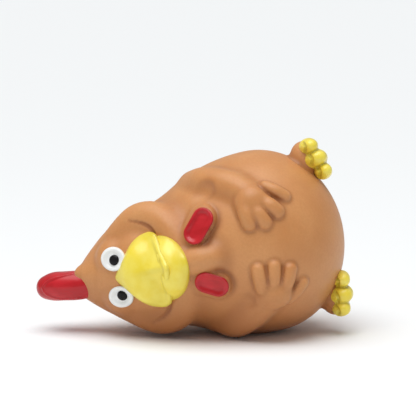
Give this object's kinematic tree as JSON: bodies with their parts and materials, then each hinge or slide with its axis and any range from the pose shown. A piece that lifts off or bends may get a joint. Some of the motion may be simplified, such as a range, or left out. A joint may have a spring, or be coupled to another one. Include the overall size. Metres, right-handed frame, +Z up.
{
  "type": "rubber chicken",
  "caption": "Plump moulded rubber toy chicken lying on its side, with comb, beak, wattles, wings and clawed feet, hollow with a squeaker plug in its lower back.",
  "frame": {"origin": "on the flat resting patch under the trunk, where the toy lies on its right side", "axes": "+Z up from the surface it lies on, +X from the comb towards the feet, -Y the way the belly and face look"},
  "size_m": [0.1509, 0.0952, 0.0931],
  "materials": {
    "skin": "matte natural tan latex",
    "yellow_paint": "glossy yellow latex paint",
    "red_paint": "glossy red latex paint",
    "white_paint": "glossy white latex paint",
    "black_paint": "glossy black latex paint",
    "plug": "ivory moulded plastic",
    "reed": "thin rolled brass"
  },
  "bodies": {
    "body": {"body_skin": "skin", "left_wing": "skin", "right_wing": "skin", "chin_lobe": "skin", "tail": "skin", "upper_beak": "yellow_paint", "lower_beak": "yellow_paint", "left_eye": "white_paint", "right_eye": "white_paint", "left_pupil": "black_paint", "right_pupil": "black_paint", "left_wattle": "red_paint", "right_wattle": "red_paint", "squeaker_housing": "plug", "reed_holder": "plug"},
    "belly": {"belly_panel": "skin"},
    "comb": {"comb": "red_paint"},
    "left_leg": {"left_leg": "skin", "left_outer_toe": "yellow_paint", "left_middle_toe": "yellow_paint", "left_inner_toe": "yellow_paint"},
    "right_leg": {"right_leg": "skin", "right_outer_toe": "yellow_paint", "right_middle_toe": "yellow_paint", "right_inner_toe": "yellow_paint"},
    "reed": {"squeaker_reed": "reed"}
  },
  "joints": [
    {"name": "belly_squeeze", "type": "slide", "parent": "body", "child": "belly", "axis": [-0.4419, 0.8802, -0.1731], "range_m": [0, 0.01], "stiffness_N_per_m": 400},
    {"name": "comb_flop", "type": "hinge", "parent": "body", "child": "comb", "pos_m": [-0.07982, -0.00199, 0.02279], "axis": [-0.0176, -0.9969, 0.0764], "range_deg": [-15, 15], "stiffness_Nm_per_rad": 0.012},
    {"name": "left_foot_wag", "type": "hinge", "parent": "body", "child": "left_leg", "pos_m": [0.02462, 0.00147, 0.07892], "axis": [-0.0176, -0.9969, 0.0764], "range_deg": [-7, 7], "stiffness_Nm_per_rad": 0.015},
    {"name": "right_foot_wag", "type": "hinge", "parent": "body", "child": "right_leg", "pos_m": [0.03869, -0.00345, 0.01798], "axis": [-0.0176, -0.9969, 0.0764], "range_deg": [-7, 7], "stiffness_Nm_per_rad": 0.015},
    {"name": "reed_buzz", "type": "hinge", "parent": "body", "child": "reed", "pos_m": [0.03473, 0.01748, 0.04767], "axis": [0.2243, -0.0785, -0.9714], "range_deg": [-3, 3], "stiffness_Nm_per_rad": 0.0001}
  ]
}
